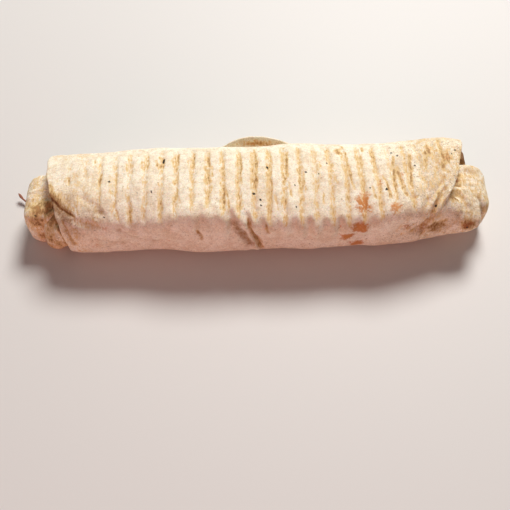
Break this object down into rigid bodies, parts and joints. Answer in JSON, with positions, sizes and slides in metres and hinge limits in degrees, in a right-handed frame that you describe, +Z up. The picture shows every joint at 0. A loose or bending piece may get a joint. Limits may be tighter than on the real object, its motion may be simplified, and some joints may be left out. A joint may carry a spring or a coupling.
{
  "type": "doner wrap",
  "caption": "Long grilled flatbread wrap: a pressed, closed roll with rib grooves across its top, a loose rounded tail at the back, a front pleat and tucked ends.",
  "frame": {"origin": "middle of the flat underside that the wrap rests on", "axes": "+X along the wrap to its right end, +Y to the back, where the sheet's loose tail is, +Z up out of the grooved top"},
  "size_m": [0.316, 0.082, 0.0518],
  "materials": {
    "flatbread": "matte, toasted wheat flatbread with golden groove lines and a few brown blisters"
  },
  "bodies": {
    "root": {"flatbread_roll": "flatbread"}
  },
  "joints": []
}
